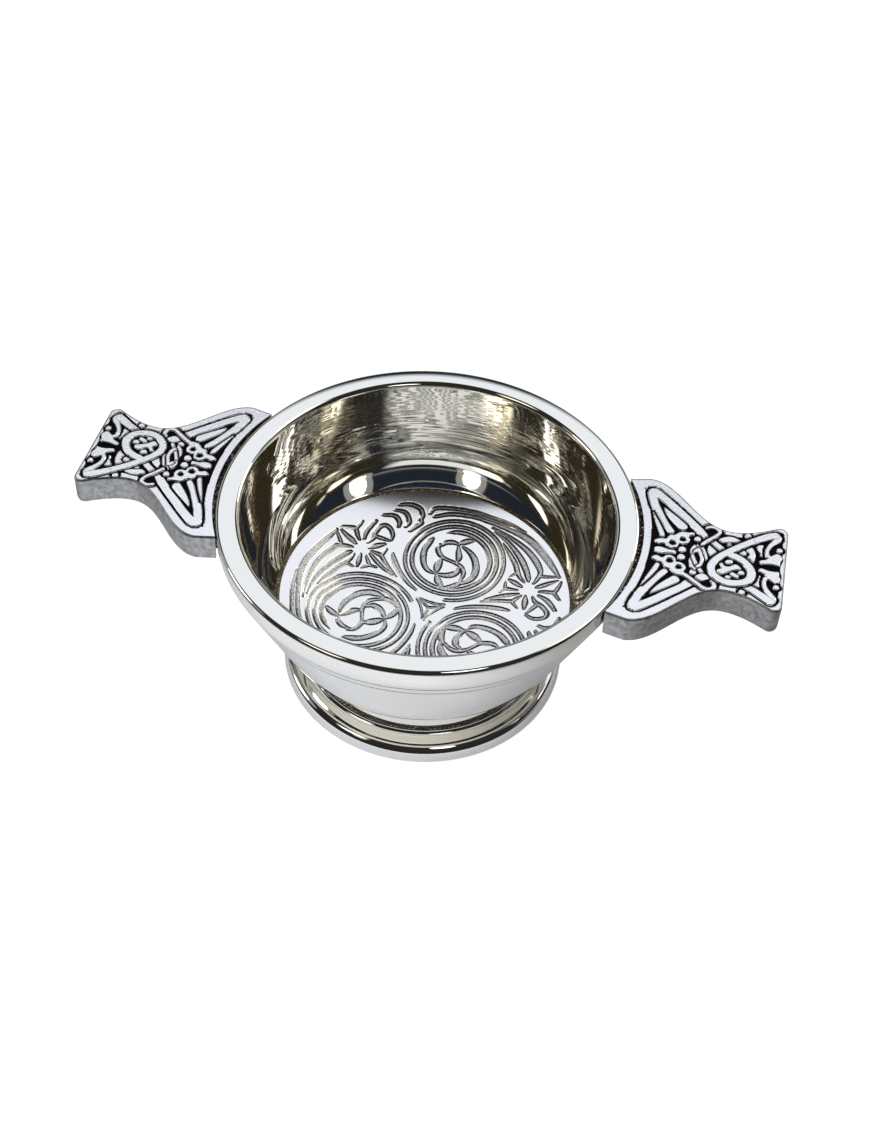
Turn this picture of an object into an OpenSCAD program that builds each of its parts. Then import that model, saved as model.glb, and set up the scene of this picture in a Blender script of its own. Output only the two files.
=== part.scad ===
// Footed two-handled drinking bowl (quaich) in pewter, in millimetres.
// Origin at the centre of the foot's resting face, +Z up, the two lugs along +X and -X.

/* [Bowl] */
// Outside diameter of the rim
rim_d = 90.4; // [76:0.2:104]
// Height of the bowl from its underside to the rim's top
bowl_h = 31; // [26:0.5:38]
// Width of the rim, from its outside to the mouth
rim_w = 5.2; // [4:0.1:6.4]
// Rounding of the rim's outer edge
rim_edge_r = 1.2; // [0.4:0.1:1.6]
// Rounding of the rim's inner lip
rim_lip_r = 1.4; // [0.4:0.1:1.7]
// Height of the upright band below the rim's top
rim_band_h = 3; // [2:0.1:5]
// Radius of the bend between the upright band and the sloping wall
shoulder_r = 5.75; // [4:0.25:12]
// Slope of the outer wall, in degrees from upright
wall_slope = 22.8; // [16:0.2:26]
// Radius of the bowl's lower outside corner
corner_r = 4; // [2.5:0.1:5]
// Thickness of the lower wall
wall_t = 1.7; // [1.3:0.1:2.4]
// Thickness of the floor under the medallion
floor_t = 1.8; // [1.2:0.1:3]
// Depth of the dish of the floor and of the medallion in it
floor_dish = 3; // [1:0.1:4]
// Height of the cove between the medallion and the inner wall
cove_h = 10.2; // [6:0.1:13]

/* [Turned lines] */
// Number of fine lines turned into the outside of the bowl
line_count = 3; // [1:1:4]
// Depth of the first line below the rim's top
line_first = 3.8; // [3.2:0.1:5]
// Distance between lines
line_pitch = 2.6; // [1.6:0.1:3]
// Width of a line at the surface
line_w = 0.45; // [0.2:0.05:0.8]
// Depth of a line
line_depth = 0.15; // [0.1:0.05:0.3]

/* [Medallion] */
// Thickness of the stamped disc set into the floor
medallion_t = 1.5; // [1:0.1:2.5]
// Width of the solder ring round the disc
medallion_seam_w = 0.6; // [0.4:0.1:1]

/* [Foot] */
// Outside diameter of the foot
foot_d = 65; // [60:0.2:70]
// Height of the bowl's underside above the table
foot_h = 17; // [12:0.5:24]
// Height of the foot's upright band
foot_band_h = 4.2; // [3.4:0.1:5.2]
// Rounding of the band's lower edge
foot_edge_r = 0.5; // [0.2:0.1:0.9]
// Rounding of the band's upper edge
foot_round_r = 2.1; // [1:0.1:2.3]
// Width of the foot's top from its outside to the cove
foot_shelf_w = 3.1; // [2.5:0.1:4]
// Width of the cove from the shelf to the neck's solder
foot_cove_w = 2; // [1:0.1:3.5]
// Height of the cove
foot_cove_h = 1.3; // [0.8:0.1:3]
// Width of the resting face under the band
foot_rest_w = 2.4; // [1.6:0.1:3.2]
// Wall of the neck where it stands on the foot
neck_t = 3; // [2.2:0.1:4]
// Depth of the neck's waist
neck_waist = 1.2; // [0.4:0.1:1.6]
// Distance of the neck's upper end inside the bowl's lower corner
neck_inset = 3; // [2:0.1:5]
// Width of the solder fillets at the neck's two ends
neck_seam_w = 0.5; // [0.3:0.1:0.9]
// Height of the solder fillets at the neck's two ends
neck_seam_h = 0.6; // [0.3:0.1:1]

/* [Lugs] */
// Length of a lug from the rim's outside to its tip
lug_l = 30.3; // [24:0.1:38]
// Width of a lug at its shoulders
lug_shoulder_w = 41.8; // [34:0.2:48]
// Width of a lug at its waist
lug_waist_w = 17.4; // [12:0.2:21]
// Distance of the waist from the rim's outside
lug_waist_x = 18.6; // [16:0.1:20]
// Width of a lug at its tip
lug_tip_w = 24; // [21:0.2:30]
// Rounding of the tip's two corners
lug_tip_r = 1.7; // [1.2:0.1:2.2]
// Thickness of a lug
lug_t = 7.2; // [5.5:0.1:9]
// Rise of a lug towards its tip, in degrees
lug_tilt = 1.5; // [0:0.1:4]
// Rounding of a lug's upper edges
lug_top_r = 0.5; // [0.2:0.1:0.8]
// Rounding of a lug's lower edges
lug_under_r = 1.5; // [0.8:0.1:1.8]
// Width of the solder seam between the rim and a lug
lug_seam_w = 0.7; // [0.4:0.1:1.2]
// How far the solder stays below the lug's top
lug_seam_sink = 0.6; // [0.3:0.1:1]

/* [Hidden] */
$fn = 128;

// Radii and heights that several pieces share
rim_r = rim_d / 2;
rim_z = foot_h + bowl_h;
mouth_r = rim_r - rim_w;
foot_r = foot_d / 2;
band_z = rim_z - rim_band_h;
floor_z = foot_h + floor_t;
crease_z = floor_z + medallion_t;

// Outer wall: the shoulder bends the upright band into a cone, and the corner bends that under
shoulder_c = [rim_r - shoulder_r, band_z];
cone_top = shoulder_c + shoulder_r * [cos(wall_slope), -sin(wall_slope)];
cone_normal = [cos(wall_slope), -sin(wall_slope)];
corner_cz = foot_h + corner_r;
corner_c = [(cone_top * cone_normal - corner_r + corner_cz * sin(wall_slope)) / cos(wall_slope),
            corner_cz];

// Inner wall: a straight run from the lip to the cove, which ends at the crease round the medallion
wall_across = wall_t / cos(wall_slope);
cove_top = [cone_r(crease_z + cove_h) - wall_across, crease_z + cove_h];
crease = [cone_r(crease_z) - wall_across, crease_z];
lip_end = [mouth_r, rim_z - rim_lip_r];
cove_bend = cove_top + (cove_top - lip_end) / norm(cove_top - lip_end) * cove_h / 2;
medallion_r = crease[0] - medallion_seam_w;

// Foot and neck: the neck stands on the foot's top face and carries the bowl
shelf_r = foot_r - foot_shelf_w;
foot_top_r = shelf_r - foot_cove_w;
foot_top_z = foot_band_h + foot_cove_h;
neck_r = foot_top_r - neck_seam_w;
neck_top_r = corner_c[0] - neck_inset;
neck_bore_r = min(neck_r, neck_top_r) - neck_t;
neck_top_z = under_z(neck_top_r) - neck_seam_h;
foot_mouth_r = foot_r - foot_edge_r - foot_rest_w;

// Lug outline in its own frame: x from the rim's outside to the tip, y across
lug_end_r = rim_r + lug_seam_w;
lug_shoulder_y = lug_shoulder_w / 2;
lug_waist_y = lug_waist_w / 2;
// The root tapers towards the bowl, and runs on past the place where the rim's curve cuts it
lug_root_slope = 12.5;
lug_root_x = -rim_r + sqrt(rim_r * rim_r - lug_shoulder_y * lug_shoulder_y) - 2;
lug_root_y = lug_shoulder_y + lug_root_x * tan(lug_root_slope);
// The corner's arc begins where the flaring side has this slope
lug_flare_slope = 30;
lug_corner_c = [lug_l - lug_tip_r, lug_tip_w / 2 - lug_tip_r];
lug_corner_start = lug_corner_c + lug_tip_r * [-sin(lug_flare_slope), cos(lug_flare_slope)];
lug_flare_x = lug_corner_start[0] - lug_waist_x;
lug_seam_angle = asin((lug_shoulder_y - lug_under_r) / lug_end_r);

// Points on an arc about c from angle a0 to a1, in n steps
function arc(c, r, a0, a1, n) = [for (i = [0:n]) let (a = a0 + (a1 - a0) * i / n) c + r * [cos(a), sin(a)]];

// Points on a quadratic curve from a to c, bent towards b, in n steps
function bend(a, b, c, n) =
    [for (i = [0:n]) let (t = i / n) (1 - t) * (1 - t) * a + 2 * t * (1 - t) * b + t * t * c];

// Points on a cubic curve from a to d with handles b and c, in n steps
function swing(a, b, c, d, n) =
    [for (i = [0:n]) let (t = i / n, s = 1 - t)
        s * s * s * a + 3 * s * s * t * b + 3 * s * t * t * c + t * t * t * d];

// Radius of the bowl's outer cone at a height
function cone_r(z) = cone_top[0] - (cone_top[1] - z) * tan(wall_slope);

// Radius of the bowl's outside at a height, from the rim's band to the cone
function outside_r(z) =
    z > band_z ? rim_r
    : z > cone_top[1] ? shoulder_c[0] + sqrt(shoulder_r * shoulder_r - (band_z - z) * (band_z - z))
    : cone_r(z);

// The bowl's outside from the rim's top down to its underside
function bowl_outside() = concat(
    arc([rim_r - rim_edge_r, rim_z - rim_edge_r], rim_edge_r, 90, 0, 6),
    arc(shoulder_c, shoulder_r, 0, -wall_slope, 8),
    arc(corner_c, corner_r, -wall_slope, -90, 8));

// How far a dish of radius rim lies below its edge at radius r
function dish(r, rim) = floor_dish * (1 - r * r / (rim * rim));

// Height of the bowl's underside at a radius
function under_z(r) = foot_h - dish(r, corner_c[0]);

// The bowl's underside from the neck's solder to the centre, with corners where the neck's end lies
function bowl_underside() = [for (r = [neck_top_r + neck_seam_w, neck_top_r, neck_bore_r,
                                       neck_bore_r * 0.75, neck_bore_r * 0.5, neck_bore_r * 0.25, 0])
    [r, under_z(r)]];

// The medallion's profile from the centre outwards, above a floor at height z
function dished_floor(z) = [for (i = [0:12]) let (r = medallion_r * i / 12) [r, z - dish(r, crease[0])]];

// The bowl's inside from the medallion's edge up to the rim's top
function bowl_inside() = concat(
    [[crease[0], floor_z]],
    bend(crease, cove_bend, cove_top, 10),
    arc([mouth_r + rim_lip_r, rim_z - rim_lip_r], rim_lip_r, 180, 90, 6));

module bowl() {
    color("silver") difference() {
        rotate_extrude() polygon(concat(bowl_outside(), bowl_underside(), dished_floor(floor_z), bowl_inside()));
        for (i = [0:line_count - 1]) turned_line(rim_z - line_first - i * line_pitch);
    }
}

// Cutter for one fine line round the outside of the bowl
module turned_line(z) {
    r = outside_r(z);
    rotate_extrude() polygon([[r - line_depth, z], [r + line_depth, z - line_w], [r + line_depth, z + line_w]]);
}

module medallion() {
    under = dished_floor(floor_z);
    top = dished_floor(crease_z);
    n = len(top) - 1;
    color("gainsboro") rotate_extrude() polygon(concat(under, [for (i = [0:n]) top[n - i]]));
}

module medallion_solder() {
    edge_dish = dish(medallion_r, crease[0]);
    color("rosybrown") rotate_extrude() polygon([
        [medallion_r, floor_z - edge_dish], [crease[0], floor_z],
        [crease[0], crease_z], [medallion_r, crease_z - edge_dish]]);
}

// The neck is upright where the solder fillets lie, and waisted between them
module neck() {
    low = [neck_r, foot_top_z + neck_seam_h];
    high = [neck_top_r, neck_top_z];
    waist = (low + high) / 2 - [2 * neck_waist, 0];
    color("silver") rotate_extrude() polygon(concat(
        [[neck_bore_r, foot_top_z], [neck_r, foot_top_z]],
        bend(low, waist, high, 12),
        [[neck_top_r, under_z(neck_top_r)], [neck_bore_r, under_z(neck_bore_r)]]));
}

module neck_solder() {
    outer_r = neck_top_r + neck_seam_w;
    color("rosybrown") rotate_extrude() polygon([
        [neck_top_r, neck_top_z], [outer_r, neck_top_z],
        [outer_r, under_z(outer_r)], [neck_top_r, under_z(neck_top_r)]]);
}

// The foot is hollow below, and stands on a flat ring under its band
module foot() {
    shelf = [shelf_r, foot_band_h];
    top = [foot_top_r, foot_top_z];
    edge_c = foot_r - foot_edge_r;
    color("silver") rotate_extrude() polygon(concat(
        [[foot_mouth_r, 0]],
        arc([edge_c, foot_edge_r], foot_edge_r, -90, 0, 4),
        arc([foot_r - foot_round_r, foot_band_h - foot_round_r], foot_round_r, 0, 90, 8),
        bend(shelf, [foot_top_r, foot_band_h], top, 8),
        [[neck_bore_r, foot_top_z], [neck_bore_r, foot_band_h]]));
}

module foot_solder() {
    color("rosybrown") rotate_extrude()
        translate([neck_r, foot_top_z]) square([neck_seam_w, neck_seam_h]);
}

// One side of a lug's outline, from the root to the tip
function lug_side() = concat(
    [[lug_root_x, lug_root_y]],
    swing([0, lug_shoulder_y], [lug_waist_x * 0.37, lug_shoulder_y],
          [lug_waist_x * 0.6, lug_waist_y], [lug_waist_x, lug_waist_y], 16),
    swing([lug_waist_x, lug_waist_y], [lug_waist_x + lug_flare_x * 0.35, lug_waist_y],
          lug_corner_start - lug_flare_x * 0.35 * [cos(lug_flare_slope), sin(lug_flare_slope)],
          lug_corner_start, 8),
    arc(lug_corner_c, lug_tip_r, 90 + lug_flare_slope, 0, 6));

// Drops points that repeat the one before
function distinct(pts) = [for (i = [0:len(pts) - 1]) if (i == 0 || norm(pts[i] - pts[i - 1]) > 0.001) pts[i]];

// The whole outline, once round
function lug_outline() = let (side = distinct(lug_side()), n = len(side))
    concat([for (i = [0:n - 1]) [side[i][0], -side[i][1]]], [for (i = [0:n - 1]) side[n - 1 - i]]);

// Moves each point of a closed outline inwards by d
function inset(pts, d) = let (n = len(pts)) [for (i = [0:n - 1])
    let (run = pts[(i + 1) % n] - pts[(i + n - 1) % n]) pts[i] + d * [-run[1], run[0]] / norm(run)];

// Levels of a lug from its underside to its top, as [height, inset], with both edges rounded
function lug_levels() = concat(
    [for (a = [0:30:90]) [-lug_t + lug_under_r * (1 - cos(a)), lug_under_r * (1 - sin(a))]],
    [for (a = [90:-45:0]) [-lug_top_r * (1 - cos(90 - a)), lug_top_r * (1 - sin(a))]]);

// Solid through rings of equal length, each the same on both sides of the x axis, closed at both ends
module loft(rings) {
    n = len(rings[0]);
    last = len(rings) - 1;
    sides = [for (k = [0:last - 1], i = [0:n - 1]) let (j = (i + 1) % n)
        each [[k * n + i, (k + 1) * n + i, k * n + j], [k * n + j, (k + 1) * n + i, (k + 1) * n + j]]];
    cap = [for (i = [0:n / 2 - 2]) each [[i, i + 1, n - 2 - i], [i, n - 2 - i, n - 1 - i]]];
    top_cap = [for (f = cap) [for (i = [2:-1:0]) last * n + f[i]]];
    polyhedron([for (ring = rings, p = ring) p], concat(sides, cap, top_cap));
}

// A lug on the +X side, its end hollowed to the rim's curve
module lug() {
    outline = lug_outline();
    difference() {
        translate([rim_r, 0, rim_z]) rotate([0, -lug_tilt, 0])
            loft([for (level = lug_levels()) [for (p = inset(outline, level[1])) [p[0], p[1], level[0]]]]);
        cylinder(h = 2 * rim_z, r = lug_end_r);
    }
}

// Solder between the rim's outside and a lug's hollowed end
module lug_seam() {
    low = rim_z - lug_t + lug_under_r;
    high = rim_z - lug_seam_sink;
    side = [for (i = [0:8]) let (z = low + (high - low) * i / 8) [seam_r(z), z]];
    rotate([0, 0, -lug_seam_angle]) rotate_extrude(angle = 2 * lug_seam_angle)
        polygon(concat(side, [[lug_end_r, high], [lug_end_r, low]]));
}

// Radius of the rim's outside at a height, with its rounded upper edge
function seam_r(z) = let (rise = z - rim_z + rim_edge_r)
    rise > 0 ? rim_r - rim_edge_r + sqrt(rim_edge_r * rim_edge_r - rise * rise) : outside_r(z);

module lug_right() {
    color("lightgray") lug();
}

module lug_left() {
    color("lightgray") rotate([0, 0, 180]) lug();
}

module lug_right_solder() {
    color("dimgray") lug_seam();
}

module lug_left_solder() {
    color("dimgray") rotate([0, 0, 180]) lug_seam();
}

bowl();
medallion();
medallion_solder();
neck();
neck_solder();
foot();
foot_solder();
lug_right();
lug_left();
lug_right_solder();
lug_left_solder();
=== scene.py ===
"""Footed two-handled drinking bowl (quaich) in polished pewter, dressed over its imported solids.

Shapes are written in millimetres in the part's own frame: origin at the centre of the foot's
resting face, +Z up, lugs along +X and -X. They become metres when a mesh is made.
"""
import math

import bmesh
import bpy
import numpy as np
from mathutils import Matrix, Vector


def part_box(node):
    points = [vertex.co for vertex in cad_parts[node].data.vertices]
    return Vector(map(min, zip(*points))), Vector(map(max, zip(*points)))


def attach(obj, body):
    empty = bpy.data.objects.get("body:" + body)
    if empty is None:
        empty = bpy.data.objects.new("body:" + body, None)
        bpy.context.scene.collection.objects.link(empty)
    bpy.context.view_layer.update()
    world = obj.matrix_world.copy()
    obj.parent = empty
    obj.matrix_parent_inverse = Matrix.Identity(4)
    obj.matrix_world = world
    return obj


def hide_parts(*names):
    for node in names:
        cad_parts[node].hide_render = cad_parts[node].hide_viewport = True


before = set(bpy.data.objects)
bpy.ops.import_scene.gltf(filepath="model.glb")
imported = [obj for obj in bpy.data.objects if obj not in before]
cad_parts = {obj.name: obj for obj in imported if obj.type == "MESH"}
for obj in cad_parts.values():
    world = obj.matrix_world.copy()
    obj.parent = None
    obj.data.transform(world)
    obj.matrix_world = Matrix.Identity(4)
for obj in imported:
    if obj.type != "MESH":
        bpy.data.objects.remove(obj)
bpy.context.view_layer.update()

MM = 0.001
BODY = "root"


def node_reach(node):
    """Highest corner of a CAD node, in millimetres."""
    return np.array(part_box(node)[1]) / MM


# Sizes that come from the frame
RIM_R, _, RIM_Z = node_reach("bowl")
FOOT_R = node_reach("foot")[0]
LUG_SHOULDER_Y = node_reach("lug_right")[1]
MEDALLION_R = node_reach("medallion")[0]
CREASE_R, _, CREASE_Z = node_reach("medallion_solder")

# Bowl
RIM_W = 5.2
RIM_EDGE_R = 1.0
RIM_LIP_R = 1.2
RIM_BAND_H = 3.0
SHOULDER_R = 5.75
WALL_SLOPE = math.radians(22.8)
CORNER_R = 4.0
WALL_T = 1.7
FLOOR_DISH = 3.0
COVE_H = 10.2
MEDALLION_T = 1.5
FLOOR_Z = CREASE_Z - MEDALLION_T
FOOT_H = 17.0
# Fine turned lines outside: distance below the rim and depth of the cut
LINES = ((3.8, 0.07), (6.4, 0.18), (9.0, 0.18))
LINE_HALF_W = 0.28
# Two waves along the inner wall: pitch and height
RIPPLES = ((1.3, 0.0025), (2.21, 0.0015))
RIPPLE_FADE = 3.0

# Foot and neck
FOOT_BAND_H = 4.2
FOOT_EDGE_R = 0.5
FOOT_ROUND_R = 2.1
FOOT_SHELF_W = 3.1
FOOT_COVE_W = 2.0
FOOT_COVE_H = 1.3
FOOT_REST_W = 2.4
NECK_T = 3.0
NECK_WAIST = 1.2
NECK_INSET = 3.0
NECK_SEAM_W = 0.5
NECK_SEAM_H = 0.6

# Lugs
LUG_L = 30.3
LUG_T = 7.2
LUG_TILT = math.radians(1.5)
LUG_ROOT_X = -6.0
LUG_ROOT_SLOPE = math.radians(12.5)
LUG_WAIST_X = 18.6
LUG_WAIST_Y = 8.7
LUG_FLARE_SLOPE = math.radians(30)
LUG_TIP_Y = 12.0
LUG_TIP_R = 1.7
LUG_TOP_R = 0.5
LUG_UNDER_R = 1.5
LUG_SEAM_W = 0.75
LUG_CORNER_REACH = 0.9
LUG_END_R = RIM_R + LUG_SEAM_W
RELIEF_H = 0.55
# Handles of the side's curves, as shares of the way to the waist and of the flare's length
LUG_SIDE_HANDLES = (0.37, 0.6)
LUG_FLARE_HANDLE = 0.35
# Where the sides have rings of points: angles round the two edges, and depths between them
TOP_EDGE_ANGLES = (22, 45, 67, 90)
UNDER_EDGE_ANGLES = (0, 15, 30, 45, 60, 75, 90)
LUG_SIDE_DEPTHS = (1.2, 2.4)
# Value of the relief layer on a lug's sides, above all heights of the ornament
LUG_SIDE_MARK = 2.0
ROOT_TOLERANCE = 0.02

# Fineness of the meshes
SEGMENTS = 256
WALL_POINTS = 200
INSIDE_POINTS = 96
LUG_GRID = (230, 330)


# Curves in a plane

def arc(centre, radius, start, end, steps):
    """Points on an arc between two angles in degrees."""
    a = np.radians(np.linspace(start, end, steps + 1))
    return np.array(centre) + radius * np.stack([np.cos(a), np.sin(a)], -1)


def run(a, b, steps):
    """Points on a straight line."""
    return np.linspace(a, b, steps + 1)


def bend(*handles, steps):
    """Points on the curve from the first handle to the last, bent towards those between."""
    t = np.linspace(0, 1, steps + 1)[:, None]
    rows = [np.array(handle, float) for handle in handles]
    while len(rows) > 1:
        rows = [(1 - t) * a + t * b for a, b in zip(rows, rows[1:])]
    return rows[0]


def smooth_path(points, steps=8):
    """A smooth curve through points of any dimension."""
    p = np.array(points, float)
    p = np.vstack([2 * p[0] - p[1], p, 2 * p[-1] - p[-2]])
    t = np.linspace(0, 1, steps, endpoint=False)[:, None]
    spans = []
    for a, b, c, d in zip(p, p[1:], p[2:], p[3:]):
        spans.append(0.5 * (2 * b + (c - a) * t + (2 * a - 5 * b + 4 * c - d) * t ** 2
                            + (3 * b - a - 3 * c + d) * t ** 3))
    return np.vstack([*spans, p[-2][None]])


def resample(path, count):
    """The same path with count points at equal steps."""
    step = np.r_[0, np.cumsum(np.linalg.norm(np.diff(path, axis=0), axis=1))]
    at = np.linspace(0, step[-1], count)
    return np.stack([np.interp(at, step, path[:, k]) for k in range(path.shape[1])], -1)


def distinct(path):
    """Drops points that repeat the one before."""
    keep = np.r_[True, np.linalg.norm(np.diff(path, axis=0), axis=1) > 1e-4]
    return path[keep]


def ramp(x):
    """0 below 0, 1 above 1 and smooth between."""
    x = np.clip(x, 0, 1)
    return x * x * (3 - 2 * x)


# Meshes

def add_object(name, data):
    """A new object in the scene."""
    obj = bpy.data.objects.new(name, data)
    bpy.context.scene.collection.objects.link(obj)
    return obj


def make_object(name, points, faces, sharp_angle=35):
    """A smooth-shaded object from points in millimetres, its faces turned outwards."""
    mesh = bpy.data.meshes.new(name)
    mesh.from_pydata((np.asarray(points, float) * MM).tolist(), [], faces)
    work = bmesh.new()
    work.from_mesh(mesh)
    bmesh.ops.recalc_face_normals(work, faces=work.faces)
    work.to_mesh(mesh)
    work.free()
    mesh.shade_smooth()
    mesh.set_sharp_from_angle(angle=math.radians(sharp_angle))
    return add_object(name, mesh)


def add_values(obj, name, values):
    """Stores one number for each vertex, for the materials to read."""
    layer = obj.data.attributes.new(name, "FLOAT", "POINT")
    layer.data.foreach_set("value", np.asarray(values, np.float32))


def dress(obj, material, slot, *nodes):
    """Gives a piece its finish and sets it on the body in place of CAD nodes."""
    obj.data.materials.append(material)
    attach(obj, BODY)
    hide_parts(*nodes)
    return obj


def grid_faces(rows, columns, closed):
    """Quads between rows of points, each row closed into a ring or not."""
    last = columns if closed else columns - 1
    return [(r * columns + c, r * columns + (c + 1) % columns,
             (r + 1) * columns + (c + 1) % columns, (r + 1) * columns + c)
            for r in range(rows - 1) for c in range(last)]


def skirt_faces(loop, first):
    """Quads from a loop of points to a ring of as many points that starts at an index."""
    loop = loop.tolist()
    n = len(loop)
    return [(loop[i], loop[(i + 1) % n], first + (i + 1) % n, first + i) for i in range(n)]


def lathe(name, profile, segments=SEGMENTS, push=None):
    """Turns a profile of radius and height about Z. It starts and ends on the axis, or is closed.

    push takes the angle, radius and height of each point and gives the changes of the last two.
    """
    profile = distinct(np.array(profile, float))
    closed = profile[0, 0] > 0
    body = profile if closed else profile[1:-1]
    turn = np.linspace(0, 2 * np.pi, segments, endpoint=False)
    r = np.repeat(body[:, :1], segments, 1)
    z = np.repeat(body[:, 1:], segments, 1)
    if push:
        dr, dz = push(np.repeat(turn[None], len(body), 0), r, z)
        r = r + dr
        z = z + dz
    points = np.stack([r * np.cos(turn), r * np.sin(turn), z], -1).reshape(-1, 3)
    faces = grid_faces(len(body), segments, True)
    if closed:
        first = (len(body) - 1) * segments
        faces += [(first + c, first + (c + 1) % segments, (c + 1) % segments, c) for c in range(segments)]
    else:
        ends = np.array([[0, 0, profile[0, 1]], [0, 0, profile[-1, 1]]])
        for k, start in enumerate((0, (len(body) - 1) * segments)):
            tip = len(points) + k
            faces += [(start + c, start + (c + 1) % segments, tip) for c in range(segments)]
        points = np.vstack([points, ends])
    return make_object(name, points, faces)


# Turned pieces

def cone_r(z):
    """Radius of the bowl's outer cone at a height."""
    return CONE_TOP[0] - (CONE_TOP[1] - z) * math.tan(WALL_SLOPE)


def dish(r, edge, power=2):
    """How far a dish of that edge radius lies below its edge. A larger power is flatter in the middle."""
    return FLOOR_DISH * (1 - (r / edge) ** power)


BAND_Z = RIM_Z - RIM_BAND_H
SHOULDER_C = np.array([RIM_R - SHOULDER_R, BAND_Z])
CONE_NORMAL = np.array([math.cos(WALL_SLOPE), -math.sin(WALL_SLOPE)])
CONE_TOP = SHOULDER_C + SHOULDER_R * CONE_NORMAL
CORNER_Z = FOOT_H + CORNER_R
CORNER_C = np.array([(CONE_TOP @ CONE_NORMAL - CORNER_R + CORNER_Z * math.sin(WALL_SLOPE))
                     / math.cos(WALL_SLOPE), CORNER_Z])
MOUTH_R = RIM_R - RIM_W
WALL_ACROSS = WALL_T / math.cos(WALL_SLOPE)
CREASE = np.array([CREASE_R, CREASE_Z])
COVE_TOP = np.array([cone_r(CREASE_Z + COVE_H) - WALL_ACROSS, CREASE_Z + COVE_H])
LIP_END = np.array([MOUTH_R, RIM_Z - RIM_LIP_R])
COVE_BEND = COVE_TOP + (COVE_TOP - LIP_END) / np.linalg.norm(COVE_TOP - LIP_END) * COVE_H / 2
SHELF_R = FOOT_R - FOOT_SHELF_W
FOOT_TOP = np.array([SHELF_R - FOOT_COVE_W, FOOT_BAND_H + FOOT_COVE_H])
NECK_R = FOOT_TOP[0] - NECK_SEAM_W
NECK_TOP_R = CORNER_C[0] - NECK_INSET
NECK_BORE_R = min(NECK_R, NECK_TOP_R) - NECK_T
FOOT_MOUTH_R = FOOT_R - FOOT_EDGE_R - FOOT_REST_W


def under_z(r):
    """Height of the bowl's underside at a radius."""
    return FOOT_H - dish(r, CORNER_C[0])


def with_lines(path):
    """Cuts the fine turned lines into an outer profile."""
    path = resample(path, WALL_POINTS)
    cut = np.zeros(len(path))
    for below, depth in LINES:
        off = np.abs(path[:, 1] - (RIM_Z - below))
        cut += depth * ramp(1 - off / LINE_HALF_W)
    path[:, 0] -= cut
    return path


def rippled(path):
    """Adds the faint unevenness that turning leaves on the inner wall."""
    path = resample(path, INSIDE_POINTS)
    along = np.linspace(0, np.linalg.norm(path[-1] - path[0]), len(path))
    wave = sum(height * np.sin(2 * np.pi * along / pitch) for pitch, height in RIPPLES)
    path[:, 0] += wave * ramp(along / RIPPLE_FADE) * ramp((along[-1] - along) / RIPPLE_FADE)
    return path


def bowl_profile():
    """From the underside's centre, over the rim, to the floor's centre below the medallion."""
    under_r = np.r_[np.linspace(0, NECK_BORE_R, 5), NECK_TOP_R, NECK_TOP_R + NECK_SEAM_W]
    underside = np.stack([under_r, under_z(under_r)], -1)
    corner = arc(CORNER_C, CORNER_R, -90, -math.degrees(WALL_SLOPE), 20)
    wall = np.vstack([run(corner[-1], CONE_TOP, 4),
                      arc(SHOULDER_C, SHOULDER_R, -math.degrees(WALL_SLOPE), 0, 24),
                      run((RIM_R, BAND_Z), (RIM_R, RIM_Z - RIM_EDGE_R), 4)])
    edge = arc((RIM_R - RIM_EDGE_R, RIM_Z - RIM_EDGE_R), RIM_EDGE_R, 0, 90, 16)
    lip = arc((MOUTH_R + RIM_LIP_R, RIM_Z - RIM_LIP_R), RIM_LIP_R, 90, 180, 16)
    inside = rippled(run(LIP_END, COVE_TOP, 4))
    cove = bend(COVE_TOP, COVE_BEND, CREASE, steps=24)
    floor_r = np.linspace(MEDALLION_R, 0, 8)
    floor = np.stack([floor_r, FLOOR_Z - dish(floor_r, CREASE_R)], -1)
    return np.vstack([underside, corner, with_lines(distinct(wall)), edge, lip, inside, cove,
                      [[CREASE_R, FLOOR_Z]], floor])


def neck_profile():
    """The waisted collar between the foot and the bowl."""
    low = np.array([NECK_R, FOOT_TOP[1] + NECK_SEAM_H])
    high = np.array([NECK_TOP_R, under_z(NECK_TOP_R) - NECK_SEAM_H])
    waist = (low + high) / 2 - [2 * NECK_WAIST, 0]
    return np.vstack([[[NECK_BORE_R, FOOT_TOP[1]], [NECK_R, FOOT_TOP[1]]],
                      bend(low, waist, high, steps=32),
                      [[NECK_TOP_R, under_z(NECK_TOP_R)], [NECK_BORE_R, under_z(NECK_BORE_R)]]])


def foot_profile():
    """The ring with its upright band, rounded edge, shelf and cove."""
    edge = FOOT_R - FOOT_EDGE_R
    return np.vstack([[[FOOT_MOUTH_R, 0]], arc((edge, FOOT_EDGE_R), FOOT_EDGE_R, -90, 0, 8),
                      arc((FOOT_R - FOOT_ROUND_R, FOOT_BAND_H - FOOT_ROUND_R), FOOT_ROUND_R, 0, 90, 20),
                      bend((SHELF_R, FOOT_BAND_H), (FOOT_TOP[0], FOOT_BAND_H), FOOT_TOP, steps=24),
                      [[NECK_BORE_R, FOOT_TOP[1]], [NECK_BORE_R, FOOT_BAND_H]]])


# Relief: heights from 0, the ground, to 1, the top, painted form by form

# Length of the very short strand that makes a ball
BALL_STEP = 0.001


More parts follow.
